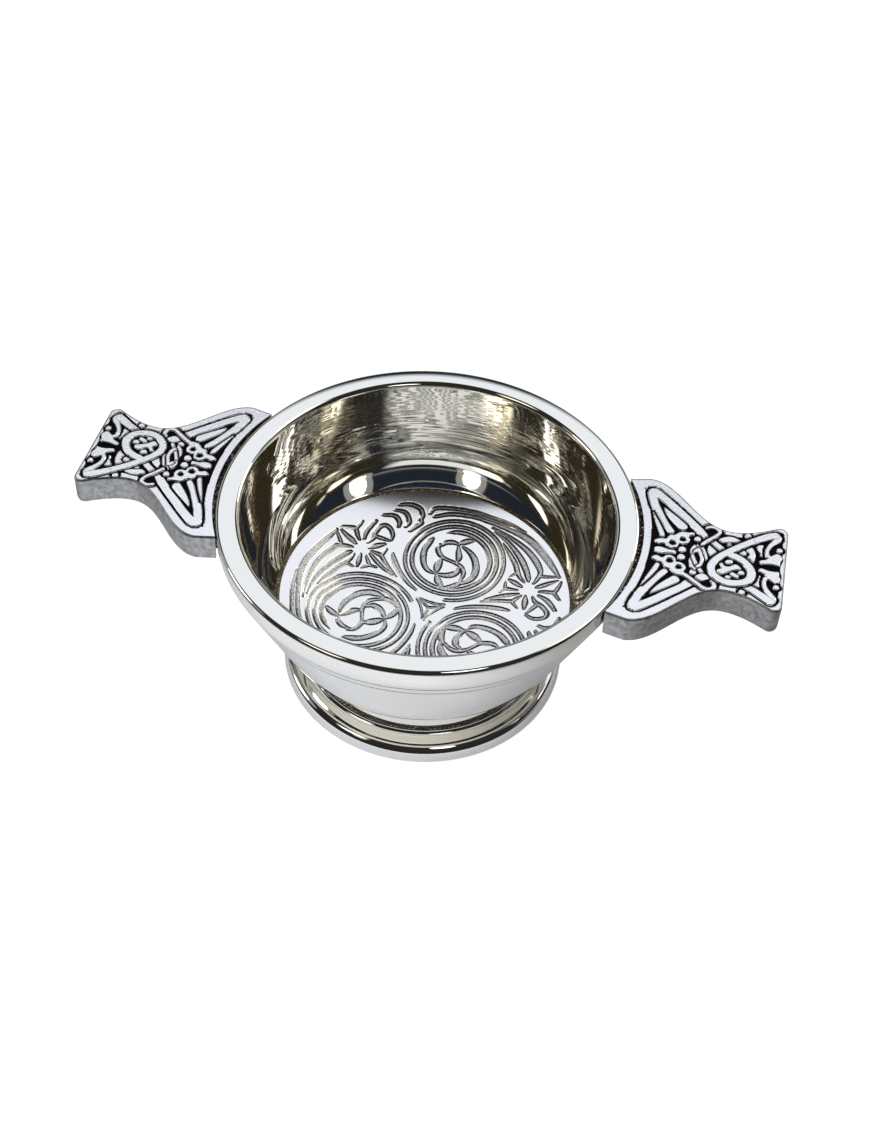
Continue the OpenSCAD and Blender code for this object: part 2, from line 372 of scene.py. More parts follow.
class Relief:
    """Heights at a set of points. A form cuts a gap round itself into what lies below it."""

    def __init__(self, x, y, soft, gap=0.0, growth=0.0):
        self.x = x
        self.y = y
        self.h = np.ones(x.shape)
        self.soft = soft
        self.gap = gap
        self.growth = growth

    def outside_by(self, path, reach):
        """Distance of each near point beyond the edge of a stroke, and which points those are."""
        pad = path[:, 2].max() + reach
        lo = path[:, :2].min(0) - pad
        hi = path[:, :2].max(0) + pad
        near = (self.x > lo[0]) & (self.x < hi[0]) & (self.y > lo[1]) & (self.y < hi[1])
        x = self.x[near]
        y = self.y[near]
        best = np.full(x.shape, 1e9)
        for a, b in zip(path, path[1:]):
            along = b[:2] - a[:2]
            t = np.clip(((x - a[0]) * along[0] + (y - a[1]) * along[1]) / max(along @ along, 1e-9), 0, 1)
            wide = a[2] + t * (b[2] - a[2])
            best = np.minimum(best, np.hypot(x - a[0] - t * along[0], y - a[1] - t * along[1]) - wide)
        return best, near

    def inside_of(self, outline):
        """True for the points inside a closed outline."""
        inside = np.zeros(self.x.shape, bool)
        for a, b in zip(outline, np.roll(outline, -1, 0)):
            crosses = (a[1] > self.y) != (b[1] > self.y)
            at = a[0] + (self.y - a[1]) * (b[0] - a[0]) / (b[1] - a[1] + 1e-12)
            inside ^= crosses & (self.x < at)
        return inside

    def stroke(self, points, half_w=None, gap=None, cut=False):
        """Raises a strand through points, or sinks it if cut. A point's third number is its half width."""
        points = np.array(points, float)
        if points.shape[1] == 2:
            points = np.column_stack([points, np.full(len(points), half_w)])
        path = smooth_path(points) if len(points) > 2 else points
        gap = self.gap if gap is None else gap
        off, near = self.outside_by(path, gap + self.soft)
        if cut:
            self.h[near] *= ramp(off / self.soft + 0.5)
            return
        self.settle(off, near, gap)

    def patch(self, points, gap=None):
        """Raises the inside of a smooth closed outline through points."""
        points = np.array(points, float)
        round_again = np.vstack([points[-2:], points, points[:2]])
        outline = smooth_path(round_again)[16:-9]
        gap = self.gap if gap is None else gap
        edge = np.column_stack([np.vstack([outline, outline[:1]]), np.zeros(len(outline) + 1)])
        off, near = self.outside_by(edge, gap + self.soft)
        off = np.where(self.inside_of(outline)[near], -off, off)
        self.settle(off, near, gap)

    def settle(self, off, near, gap):
        """Cuts the gap round a form and raises the form, from the distances beyond its edge."""
        off = off - self.growth
        sunk = self.h[near] * ramp((off - gap) / self.soft + 1)
        self.h[near] = np.maximum(sunk, ramp(0.5 - off / self.soft))

    def balls(self, places, gap=None, cut=False):
        """Round bosses, or round holes if cut, at places given as x, y and radius."""
        for x, y, radius in places:
            self.stroke([(x, y, radius), (x + BALL_STEP, y, radius)], gap=gap, cut=cut)

    def field(self, outline):
        """Sinks everything inside an outline."""
        self.h[self.inside_of(outline)] = 0


# Lugs

def mirrored(points):
    """The same points on the other side of the lug's middle."""
    return [(p[0], -p[1], *p[2:]) for p in points]


# Edge of the sunk ground of a lug's ornament as u from the bowl's axis and v across: the start that
# both sides share, the rest of the +v side and of the -v side, and half of the tip
FIELD_ROOT = [(44.7, 17.3), (44.9, 18.1), (45.6, 18.5), (46.7, 18.35), (48, 17.55), (50, 16.2),
              (53, 13.4), (56, 10.5)]
FIELD_UP = [(57.6, 8.9), (58.6, 9.1), (59.6, 9.5), (60.9, 9.3), (61.8, 8.3), (61.9, 7.5), (64, 7.4),
            (66, 7.3), (68.5, 8.5), (71, 10), (73, 10.8), (74.3, 10.4), (74.6, 9.2), (74.4, 7.8)]
FIELD_DOWN = [(57.6, -9.1), (59, -9.5), (60.6, -9.5), (61.9, -8.4), (62.3, -7.2), (64.5, -7.4),
              (66.5, -7.2), (68.5, -7.8), (71, -9.4), (73, -10.4), (74.3, -10), (74.6, -9),
              (74.4, -7.6)]
FIELD_TIP = [(74.5, 6.5), (75, 5.4), (74.6, 4), (74.8, 2.5), (74.4, 0.8)]
FIELD_ROOT_R = 47.5
FIELD_ROOT_ANGLE = 22


def lug_field():
    """Closed outline of the ground: the curve along the rim, one side, the tip and the other side."""
    root = arc((0, 0), FIELD_ROOT_R, -FIELD_ROOT_ANGLE, FIELD_ROOT_ANGLE, 24)
    up = smooth_path(FIELD_ROOT + FIELD_UP)
    tip = smooth_path(FIELD_TIP + mirrored(FIELD_TIP)[::-1])
    down = smooth_path(mirrored(FIELD_ROOT) + FIELD_DOWN)
    return np.vstack([root, up, tip, down[::-1]])


# Strands of a lug's ornament as u, v and half width, or as u and v with one half width named below
# them, and closed outlines as u and v. Those on the +v side that have a twin are mirrored.
WING = [(58.3, 5.9, 0.85), (57, 7.4, 0.95), (54, 10.4, 0.95), (52, 12.3, 0.95), (50, 14.2, 0.95),
        (48, 15.9, 1), (46.6, 16.9, 1.05), (45.9, 16.7, 0.95), (46.2, 15.2, 0.95), (46.9, 13.2, 0.95),
        (47.5, 11.9, 0.95), (48.6, 9.9, 0.85), (49.8, 7.9, 0.75), (51.2, 5.9, 0.7)]
WING_LEAF = [(49, 12.6, 0.1), (50.1, 11.2, 0.55), (51.7, 9.5, 0.85), (53.5, 7.7, 1)]
WING_SLIP = [(46.9, 10.6, 0.1), (48.1, 7.9, 0.4), (49.1, 5.6, 0.55), (49.5, 4.4, 0.55)]
HEAD = [(48.1, 2.5), (48.6, 1.85), (49.4, 1.75), (50.3, 2.1), (50.9, 1.35), (51.9, 1.1), (52.8, 1.45),
        (53.2, 2.2), (53.3, 2.7), (54.2, 2.65), (55.1, 3.2), (55.4, 4.1), (55.1, 5), (55.5, 5.5),
        (56.2, 5.9), (55.9, 6.5), (54.8, 6.3), (53.3, 6.15), (52.5, 5.45), (52, 4.9), (51.1, 4.75),
        (50.7, 4.1), (50.4, 3.5), (49.7, 3.4), (48.7, 3.1)]
EYES = [(51.9, 2.6, 0.68), (53.9, 4.05, 0.62)]
TONGUE = [(48.4, 0.5), (49.3, 0.85), (50.3, 0.75), (51.5, 0.45), (52.7, 0.45), (52.9, -0.45),
          (51.5, -0.45), (50.4, -0.85), (49.3, -0.95), (48.5, -0.6)]
TIP_HEAD = [(70.2, 0.7), (70.1, 1.5), (71.2, 2), (71.9, 2.9), (72.6, 3.6), (73.4, 4.15), (74.3, 3.9),
            (74.65, 2.9), (74.3, 1.9), (74.2, 0.9), (73.2, 1), (72, 0.95), (70.9, 0.65)]
BARB = [(69.2, 5.4), (70.4, 6.1), (70.6, 5), (70.7, 3), (70.1, 2.9), (69.9, 4)]
KNOT = [[(57.4, 3.2), (56.5, 2.5), (56.1, 1.3), (56.3, -0.1), (56.1, -1.6), (56.4, -3.0), (57.2, -3.8)],
        [(57.3, 3.2), (58.2, 2.3), (58.8, 1), (59.2, -0.6)],
        [(56.4, -0.2), (57, -1.6), (57.8, -3), (58.7, -4.4)],
        [(56.8, 1.2), (57.4, 1.9), (57.9, 0.8), (58.4, -0.8), (58.2, -2.3), (57.7, -3)]]
HOOK_UP = [(58.1, 3.6), (59, 4.8), (60.2, 6.1), (61.1, 7.3), (61.2, 8.2), (60.5, 8.9), (59.5, 9),
           (58.6, 8.6)]
HOOK_DOWN = [(54.8, -5.6, 0.5), (56.3, -6.5, 0.5), (58, -7.7, 0.5), (59.4, -8.7, 0.5),
             (60.6, -8.9, 0.5), (61.4, -8.2, 0.5), (61.5, -7.2, 0.5), (60.9, -6.4, 0.35)]
CROSS_BAR = [(59.9, 4.9), (62.6, 2.7)]
LOOP_LEAF = [(61.3, 5.7), (62.2, 5), (63.2, 5.2), (64.6, 5.6), (65.8, 6.1), (65, 6.8), (63.4, 7),
             (62.1, 6.5)]
LOOP_WEDGE = [(59.4, 3.5), (59.2, 2.3), (59.7, 1.1), (60.2, 0.4), (61, 1.2), (61.2, 2), (60.3, 2.9)]
LOOP_CRESCENT = [(67.2, 4.1), (68.2, 5), (68.9, 3.9), (69.2, 2.4), (69, 1), (68.6, 0.7), (67.5, 1.7),
                 (67.8, 2.6), (67.7, 3.3)]
HOOK_BLOCK = [(57.5, -5.9), (59, -4.8), (60.4, -5.7), (58.9, -6.9)]
LOOP = [(64.2, 1.7, 0.85), (65.6, 1.3, 0.85), (67.3, 0.2, 0.85), (68.4, -1.4, 0.9), (68.7, -3.1, 0.95),
        (68, -4.8, 0.9), (66.3, -5.8, 0.85), (64.3, -6.1, 0.85), (62.3, -5.5, 0.85), (60.9, -4.1, 0.85),
        (60.4, -2.4, 0.85), (60.9, -0.7, 0.85), (62, 0.9, 0.82), (63.5, 2.5, 0.8), (65.3, 4.2, 0.8),
        (67.3, 5.9, 0.8), (69.3, 7.4, 0.85), (71.4, 8.8, 0.9), (72.9, 9.5, 0.9)]
CORNER = [(72.9, 9.5, 0.9), (73.4, 8.6, 0.8), (72.6, 7.3, 0.6), (71.8, 6, 0.5), (71.4, 4.6, 0.45),
          (71.6, 3.3, 0.5), (72.5, 2.7, 0.5)]
CORNER_DOWN = [(67.9, -6.4, 0.75), (69.5, -7.2, 0.85), (71.5, -8.5, 0.9), (72.9, -9.4, 0.9)]
PANEL = [(62, -1.2), (62.6, -0.8), (63.2, -1.6), (64, -1.6), (65.2, -0.7), (66.2, -1.1), (66.5, -1.8),
         (65.6, -2.2), (64.3, -2.9), (62.8, -4.1), (62, -3.6), (61.7, -3), (62.5, -2.4), (62.2, -1.7)]
PANEL_BITS = [[(63.7, -0.35, 0.6), (64.2, -0.2, 0.55)], [(66.5, -2.9, 0.6), (66.7, -2.8, 0.6)],
              [(64.9, -3.6, 0.55), (65.8, -4, 0.5)], [(63.8, -4.6, 0.4), (64.3, -4.6, 0.4)]]
LUG_BALLS = [(56.9, 4.8, 0.72), (73.9, 5.27, 0.66), (67.2, 8.1, 0.7), (54.1, 1.1, 0.82)]
LOOP_BALLS = [(63.6, 4.6, 0.5), (66.6, 2.9, 0.72)]
KNOT_HALF_W = 0.4
HOOK_UP_HALF_W = 0.45
CROSS_BAR_HALF_W = 0.68
FINE_GAP = 0.32


def paint_root(art):
    """Wings, heads and balls on both sides, with one hook and the tongue between them."""
    for side in (list, mirrored):
        art.stroke(side(WING))
        art.stroke(side(WING_LEAF))
        art.stroke(side(WING_SLIP))
    art.stroke(HOOK_DOWN)
    art.patch(TONGUE)
    for side in (list, mirrored):
        art.balls(side(LUG_BALLS))
        art.patch(side(HEAD), FINE_GAP)
        art.balls(side(EYES), cut=True)
        art.patch(side(BARB), FINE_GAP)
    art.stroke(HOOK_DOWN[:4], gap=0)


def paint_knot(art):
    """The knot with its bar and the other hook, and the small forms beside the loop."""
    for strand in KNOT:
        art.stroke(strand, KNOT_HALF_W, FINE_GAP)
    art.stroke(CROSS_BAR, CROSS_BAR_HALF_W)
    art.stroke(HOOK_UP, HOOK_UP_HALF_W)
    for outline in (LOOP_LEAF, LOOP_WEDGE, HOOK_BLOCK, LOOP_CRESCENT):
        art.patch(outline, FINE_GAP)
    art.balls(LOOP_BALLS, FINE_GAP)


def paint_tip(art):
    """The loop that runs out into the tip's corners, the heads there and the panel in the loop."""
    art.stroke(CORNER_DOWN)
    art.stroke(LOOP)
    for side in (list, mirrored):
        art.stroke(side(CORNER))
        art.patch(side(TIP_HEAD), 0)
    art.stroke(LOOP[-3:], gap=0)
    art.stroke(CORNER_DOWN[-3:], gap=0)
    art.patch(PANEL, FINE_GAP)
    for bit in PANEL_BITS:
        art.stroke(bit, gap=FINE_GAP)


def paint_lug(x, y):
    """Heights of a lug's interlaced ornament."""
    art = Relief(x, y, soft=0.2, gap=0.58, growth=0.03)
    art.field(lug_field())
    paint_root(art)
    paint_knot(art)
    paint_tip(art)
    return art.h


def lug_side_path():
    """One side of a lug's outline from the root to the tip: x from the rim's outside, y across."""
    root = (LUG_ROOT_X, LUG_SHOULDER_Y + LUG_ROOT_X * math.tan(LUG_ROOT_SLOPE))
    shoulder = (0, LUG_SHOULDER_Y)
    waist = (LUG_WAIST_X, LUG_WAIST_Y)
    leave_x, arrive_x = (LUG_WAIST_X * share for share in LUG_SIDE_HANDLES)
    corner_c = np.array([LUG_L - LUG_TIP_R, LUG_TIP_Y - LUG_TIP_R])
    flare = np.array([math.cos(LUG_FLARE_SLOPE), math.sin(LUG_FLARE_SLOPE)])
    corner_start = corner_c + LUG_TIP_R * np.array([-flare[1], flare[0]])
    handle = LUG_FLARE_HANDLE * (corner_start[0] - LUG_WAIST_X)
    return distinct(np.vstack([
        run(root, shoulder, 8),
        bend(shoulder, (leave_x, LUG_SHOULDER_Y), (arrive_x, LUG_WAIST_Y), waist, steps=48),
        bend(waist, (LUG_WAIST_X + handle, LUG_WAIST_Y), corner_start - handle * flare, corner_start,
             steps=32),
        arc(corner_c, LUG_TIP_R, 90 + math.degrees(LUG_FLARE_SLOPE), 0, 24)]))


def inset_side(path, d):
    """A side of the outline moved towards the lug's middle by d."""
    along = np.gradient(path, axis=0)
    along /= np.linalg.norm(along, axis=1)[:, None]
    return path + d * np.stack([along[:, 1], -along[:, 0]], -1)


def lug_end_r(y):
    """Radius of a lug's hollowed end, whose corners come closest to the rim."""
    return RIM_R + LUG_SEAM_W * (1 - LUG_CORNER_REACH * (y / LUG_SHOULDER_Y) ** 2)


def lug_grid(columns, rows, inset):
    """Points over a lug's top, from the hollowed root to the tip, and across."""
    side = inset_side(lug_side_path(), inset)
    tip_x = side[:, 0].max()
    side = side[:np.argmax(side[:, 0]) + 1]
    across = np.linspace(-1, 1, rows)

    def half_width(x):
        return np.interp(x, side[:, 0], side[:, 1])

    root = np.zeros(rows)
    for _ in range(30):
        y = across * half_width(root)
        root = np.sqrt(lug_end_r(y) ** 2 - y ** 2) - RIM_R
    kept = np.vstack([[root[-1], half_width(root[-1])], side[side[:, 0] > root[-1] + 0.01]])
    stations = resample(kept, columns)[:, 0]
    share = (stations - stations[0]) / (tip_x - stations[0])
    x = root[None, :] + share[:, None] * (tip_x - root[None, :])
    return x, across[None, :] * half_width(x)


def boundary(columns, rows):
    """Indices of a grid's outer points, once round."""
    index = np.arange(columns * rows).reshape(columns, rows)
    return np.concatenate([index[:, 0], index[-1, 1:], index[-2::-1, -1], index[0, -2:0:-1]])


def lug_points(x, y, z, turned):
    """A lug's own frame to the part's frame."""
    px = RIM_R + x * math.cos(LUG_TILT) - z * math.sin(LUG_TILT)
    pz = RIM_Z + x * math.sin(LUG_TILT) + z * math.cos(LUG_TILT)
    sign = -1 if turned else 1
    return np.stack([sign * px, sign * y, pz], -1)


def lug_levels():
    """Heights down a lug's side, with how far the side and the root stand out from the flat top there."""
    levels = [(-LUG_TOP_R * (1 - math.cos(a)), LUG_TOP_R * math.sin(a), 0)
              for a in np.radians(TOP_EDGE_ANGLES)]
    levels += [(-depth, LUG_TOP_R, 0) for depth in LUG_SIDE_DEPTHS]
    for a in np.radians(UNDER_EDGE_ANGLES):
        inset = LUG_UNDER_R * (1 - math.cos(a))
        levels.append((-LUG_T + LUG_UNDER_R * (1 - math.sin(a)), LUG_TOP_R - inset, -inset))
    return levels


def lug_rings(x, y, loop, turned):
    """Rings of points down a lug's sides. The root moves along x only and stays between its corners."""
    columns, rows = x.shape
    ring = np.stack([x.ravel()[loop], y.ravel()[loop]], -1)
    along = np.roll(ring, -1, 0) - np.roll(ring, 1, 0)
    out = np.stack([along[:, 1], -along[:, 0]], -1)
    out /= np.linalg.norm(out, axis=1)[:, None]
    at_root = np.hypot(ring[:, 0] + RIM_R, ring[:, 1]) < lug_end_r(ring[:, 1]) + ROOT_TOLERANCE
    corners = [0, 2 * columns + rows - 3]
    corner_out = out[[1, corners[1] - 1]]
    out[at_root] = 0
    out[corners] = corner_out
    rings = []
    for z, grow, root_grow in lug_levels():
        edge = ring + grow * out
        edge[at_root, 0] -= root_grow
        corner_y = edge[corners, 1]
        edge[at_root, 1] = np.clip(edge[at_root, 1], corner_y.min(), corner_y.max())
        rings.append(lug_points(edge[:, 0], edge[:, 1], np.full(len(ring), z), turned))
    return rings


def make_lug(name, turned):
    """A cast lug: its ornamented top, rounded edges, sides and underside."""
    x, y = lug_grid(*LUG_GRID, LUG_TOP_R)
    h = paint_lug(x + RIM_R, y)
    top = lug_points(x, y, (h - 1) * RELIEF_H, turned).reshape(-1, 3)
    loop = boundary(*LUG_GRID)
    rings = lug_rings(x, y, loop, turned)
    n = len(loop)
    first = len(top)
    last = first + (len(rings) - 1) * n
    faces = grid_faces(*LUG_GRID, False) + skirt_faces(loop, first)
    faces += [tuple(first + k for k in face) for face in grid_faces(len(rings), n, True)]
    faces.append(tuple(range(last, last + n)))
    obj = make_object(name, np.vstack([top, *rings]), faces, sharp_angle=60)
    add_values(obj, "relief", np.r_[h.ravel(), np.full(n * len(rings), LUG_SIDE_MARK)])
    return obj


# Medallion

MEDALLION_GRID = 305
MEDALLION_DISH_POWER = 3
ENGRAVING_DEPTH = 0.2
ENGRAVING_R = 32.3
BAND_SOFT = 0.32
PATTERN_C = np.array([1.27, -1.55])
PATTERN_TURN = -8.15
THIRDS = (0, 120, 240)

# The roundel's winding band. It tapers between two turns, and its inner end over a part of one.
ROUNDEL_C = (0, 15.72)
SPIRAL_R = 8.3
SPIRAL_GROWTH = 1.62
SPIRAL_START = 120
SPIRAL_TURNS = 2.55
SPIRAL_TAPER = (0.5, 1.2)
SPIRAL_HALF_W = (0.46, 0.36)
SPIRAL_TIP = 0.05
SPIRAL_POINTS = 200

# One third of the medallion's pattern as x, y and half width, from the pattern's centre with its
# roundel straight up
S_CHAIN = [
    [(2.5, 22.9, 0.3), (1.3, 22.2, 0.65), (0.3, 21.3, 0.55), (-0.2, 20.8, 0.2)],
    [(-0.3, 20.6, 0.25), (-1.8, 20.7, 0.5), (-3.2, 20.1, 0.5), (-4, 18.9, 0.25)],
    [(-4.5, 19, 0.25), (-4.4, 17.7, 0.48), (-3.5, 16.4, 0.5), (-2.3, 15.5, 0.42), (-0.5, 15.25, 0.32),
     (1.2, 15, 0.38), (2.7, 14.3, 0.48), (3.6, 13.2, 0.48), (3.9, 11.8, 0.38), (3.8, 10.5, 0.25)],
    [(-0.2, 20.2, 0.15), (0.5, 18.5, 0.55), (1.1, 17, 0.6), (1.2, 15.5, 0.25)],
    [(-2.7, 15.2, 0.25), (-2.7, 13.5, 0.8), (-2.5, 12, 0.7), (-2.2, 10.9, 0.25)],
    [(2.1, 13.8, 0.3), (2.2, 12.5, 0.55), (1.3, 11.3, 0.7), (-0.3, 10.5, 0.55), (-2, 10.4, 0.2)],
    [(-2, 10.3, 0.2), (-1.2, 8.9, 0.7), (-0.3, 7.8, 0.7), (0.8, 6.9, 0.25)]]
CRESCENTS = [
    [(0.8, 20.3, 0.15), (3, 19.3, 0.48), (4.9, 17.5, 0.68), (6, 15.2, 0.72), (6.2, 13, 0.75),
     (5.6, 11.2, 0.7), (4.5, 9.7, 0.3)],
    [(3.9, 11, 0.3), (3.9, 9.9, 0.42), (3.5, 8.9, 0.62), (2.7, 8.1, 0.55), (1, 6.9, 0.25)],
    [(-6.6, 20.2, 0.2), (-7.1, 18.5, 0.65), (-7.3, 16.5, 0.62), (-6.8, 14.2, 0.62), (-5.7, 12, 0.56),
     (-4.2, 10.6, 0.45), (-2.5, 10.3, 0.2)]]
FLOWS = [
    [(-8.5, 26.3, 0.3), (-5, 28.4, 0.4), (0, 29.4, 0.42), (4, 29.3, 0.45), (8, 28.8, 0.5),
     (12, 28, 0.65), (15, 26.9, 0.75), (18, 25, 0.75), (21, 22.4, 0.7), (23.5, 19.9, 0.5),
     (25.3, 18, 0.2)],
    [(-9.9, 26.7, 0.2), (-9.2, 28.6, 0.35), (-5, 30, 0.36), (0, 30.7, 0.36), (5, 30.4, 0.36),
     (9.5, 29.8, 0.36), (13.5, 28.6, 0.2)],
    [(5.5, 27.9, 0.1), (8, 27.2, 0.25), (11, 26.2, 0.35), (14, 24.8, 0.5), (16.5, 23.2, 0.6),
     (19, 20.9, 0.65), (20.6, 18.6, 0.5), (20.5, 16.5, 0.4), (20.1, 15, 0.2)],
    [(21, 17.5, 0.3), (22.5, 17.6, 0.3), (25.4, 18.2, 0.1)],
    [(6.5, 27, 0.1), (9, 25.8, 0.3), (11, 24.6, 0.4), (13.7, 22.4, 0.55), (15.8, 20.2, 0.65),
     (17.3, 18.2, 0.6), (18.4, 16.3, 0.5), (18.8, 15.4, 0.25)],
    [(9.5, 24.2, 0.1), (11, 22.8, 0.3), (12.6, 21.2, 0.45), (14.4, 19.2, 0.5), (15.5, 17.3, 0.5),
     (16.6, 15.9, 0.35), (18, 14.8, 0.15)],
    [(15.5, 17, 0.35), (14.3, 15.5, 0.15)],
    [(-13.6, 12.1, 0.25), (-12.3, 10.2, 0.5), (-10, 7.6, 0.46), (-7, 5.2, 0.38), (-4.5, 3.9, 0.2)],
    [(-3, 2, 0.1), (-1, 1.65, 0.2), (1.5, 1.75, 0.2), (3.2, 2.3, 0.1)],
    [(0, 0, 0.2), (1.5, 0.87, 0.22), (2.8, 1.6, 0.1)]]
ARCHES = [
    [(-20, 21.8, 0.25), (-17.5, 22.7, 0.4), (-15.9, 21.8, 0.42), (-15.4, 20.2, 0.25)],
    [(-17.9, 24.3, 0.2), (-15.8, 24.7, 0.36), (-14.4, 23.9, 0.4), (-13.6, 22.3, 0.4),
     (-13.9, 20.8, 0.2)],
    [(-17.5, 26.2, 0.25), (-15, 27.3, 0.38), (-12.6, 27.1, 0.4), (-11.4, 25.7, 0.4),
     (-11.3, 24.3, 0.38), (-10.9, 23.3, 0.42), (-11.7, 21.7, 0.4), (-12.5, 20.1, 0.25)]]

STAR = [
    [(14.2, 14.6, 0.15), (16, 14, 0.5), (17.9, 13.3, 0.2)],
    [(21.1, 14.1, 0.25), (22.2, 14.8, 0.5), (23.6, 15.9, 0.4), (25.3, 17, 0.12)],
    [(19.5, 11, 0.2), (20, 9.2, 0.6), (20.4, 7.2, 0.2)],
    [(22.1, 13, 0.2), (23.5, 13.3, 0.35), (25.4, 13.6, 0.4), (25.9, 15.2, 0.35), (26.1, 16.8, 0.15)],
    [(25.4, 13.5, 0.35), (26.5, 12.4, 0.3), (27.4, 11.6, 0.15)],
    [(22.3, 11.9, 0.2), (24.5, 11, 0.45), (26, 9.8, 0.45), (27.3, 8.4, 0.3)],
    [(21.1, 11.2, 0.15), (22.3, 9.8, 0.4), (24, 9, 0.45), (25.6, 7.6, 0.45), (25.8, 6.2, 0.42),
     (24.6, 5.2, 0.4), (23, 5, 0.35), (21.4, 5.6, 0.2)],
    [(22.9, 9.2, 0.4), (22.1, 7.7, 0.4), (21.3, 6.1, 0.2)],
    [(18.6, 10.8, 0.15), (17.6, 9.3, 0.4), (16.9, 8.5, 0.42), (14.5, 7.8, 0.4), (12, 6.9, 0.35),
     (10.3, 6, 0.15)],
    [(17, 8.5, 0.35), (18.9, 7, 0.15)],
    [(17.9, 11.1, 0.2), (15.6, 10, 0.42), (13.2, 8.6, 0.35), (11, 6.9, 0.2)],
    [(17.3, 12.1, 0.15), (15.2, 11.8, 0.38), (14.4, 11.9, 0.35), (13.8, 13.6, 0.15)],
    [(14.4, 11.8, 0.3), (13.6, 10.2, 0.2)]]


def rotated(points, degrees, centre=(0, 0)):
    """Points turned about the origin and moved to a centre. A half width in a point stays as it is."""
    c = math.cos(math.radians(degrees))
    s = math.sin(math.radians(degrees))
    return [(centre[0] + c * x - s * y, centre[1] + s * x + c * y, w) for x, y, w in points]


def spiral():
    """The roundel's winding band, from its inner end outwards."""
    turn = np.linspace(0, SPIRAL_TURNS, SPIRAL_POINTS)
    a = np.radians(SPIRAL_START - 360 * turn)
    r = SPIRAL_R + SPIRAL_GROWTH * turn
    w = np.interp(turn, SPIRAL_TAPER, SPIRAL_HALF_W) * ramp(turn / SPIRAL_TIP)
    return list(zip(ROUNDEL_C[0] + r * np.cos(a), ROUNDEL_C[1] + r * np.sin(a), w))


def paint_medallion(x, y):
    """Heights of the medallion's stamped pattern, 1 on the plain ground and 0 in its bands."""
    art = Relief(x, y, BAND_SOFT)
    bands = [*S_CHAIN, *CRESCENTS, *FLOWS, *ARCHES, *STAR, spiral()]
    for turn in THIRDS:
        for band in bands:
            art.stroke(rotated(band, PATTERN_TURN + turn, PATTERN_C), cut=True)
    art.h[np.hypot(x, y) > ENGRAVING_R] = 1
    return art.h


def make_medallion():
    """The stamped disc on the bowl's dished floor."""
    a, b = np.meshgrid(*[np.linspace(-1, 1, MEDALLION_GRID)] * 2, indexing="ij")
    x = MEDALLION_R * a * np.sqrt(1 - b * b / 2)
    y = MEDALLION_R * b * np.sqrt(1 - a * a / 2)
    h = paint_medallion(x, y)
    z = CREASE_Z - dish(np.hypot(x, y), CREASE_R, MEDALLION_DISH_POWER)
    top = np.stack([x, y, z + (h - 1) * ENGRAVING_DEPTH], -1).reshape(-1, 3)
    loop = boundary(MEDALLION_GRID, MEDALLION_GRID)
    under = top[loop] - [0, 0, MEDALLION_T]
    points = np.vstack([top, under, [[0, 0, FLOOR_Z - FLOOR_DISH]]])
    n = len(loop)
    first = len(top)
    faces = grid_faces(MEDALLION_GRID, MEDALLION_GRID, False) + skirt_faces(loop, first)
    faces += [(first + i, first + (i + 1) % n, first + n) for i in range(n)]
    obj = make_object("medallion_disc", points, faces, sharp_angle=60)
    add_values(obj, "relief", np.r_[h.ravel(), np.ones(n + 1)])
    return obj


# Solder

# Lumps of a bead: height, waves round it, phase of the second, share of the third and its slant
PIT_H = 0.05
PIT_WAVES = (97, 61, 173)
PIT_PHASE = 1.3
PIT_FINE = 0.6
PIT_SLANT = 2
PIT_SHIFT = 3
BEAD_SEGMENTS = 720

# The rope-like bead round the medallion
ROPE_H = 0.07
ROPE_TWISTS = 230
ROPE_SLANT = 5
ROPE_SEGMENTS = 1440
ROPE_R = 0.33
ROPE_INSET = 0.3
ROPE_DROP = 0.15

# How far the hollow faces of the other beads stand out and away from the end of the seam
NECK_BEAD_HOLLOW = (0.2, 0.25)
FOOT_BEAD_HOLLOW = (0.2, 0.2)

# Seams of the lugs: the drop below the rim, the dip in their top, lumps and overlap with both sides
LUG_SEAM_DROP = 0.6
LUG_SEAM_DIP_X = 0.35
LUG_SEAM_DIP = 0.1
LUG_SEAM_LUMP = 0.25
LUG_SEAM_OVERLAP = 0.1
LUG_SEAM_STEPS = 200
LUG_SEAM_SEED = 5


def pitted(turn, r, z):
    """Small lumps along a solder bead."""
    coarse = np.sin(PIT_WAVES[0] * turn) * np.sin(PIT_WAVES[1] * turn + PIT_PHASE)
    fine = PIT_FINE * np.sin(PIT_WAVES[2] * turn + PIT_SLANT * z)
    lump = PIT_H * (coarse + fine)
    return lump, np.roll(lump, PIT_SHIFT, 1)


def roped(turn, r, z):
    """The twisted look of the bead round the medallion."""
    twist = np.sin(ROPE_TWISTS * turn + ROPE_SLANT * (r - CREASE_R))
    return np.zeros_like(r), ROPE_H * twist


def rope_profile():
    """A round bead in the crease round the medallion."""
    return arc((CREASE_R - ROPE_INSET, CREASE_Z - ROPE_DROP), ROPE_R, 0, 345, 15)


def neck_bead_profile():
    """A hollow fillet between the collar and the bowl."""
    seam_r = NECK_TOP_R + NECK_SEAM_W
    out, down = NECK_BEAD_HOLLOW
    return [(NECK_TOP_R, under_z(NECK_TOP_R) - NECK_SEAM_H), (NECK_TOP_R + out, under_z(seam_r) - down),
            (seam_r, under_z(seam_r)), (NECK_TOP_R, under_z(NECK_TOP_R))]


def foot_bead_profile():
    """A hollow fillet between the collar and the foot."""
    seam_r, z = FOOT_TOP
    out, up = FOOT_BEAD_HOLLOW
    return [(NECK_R, z), (seam_r, z), (NECK_R + out, z + up), (NECK_R, z + NECK_SEAM_H)]


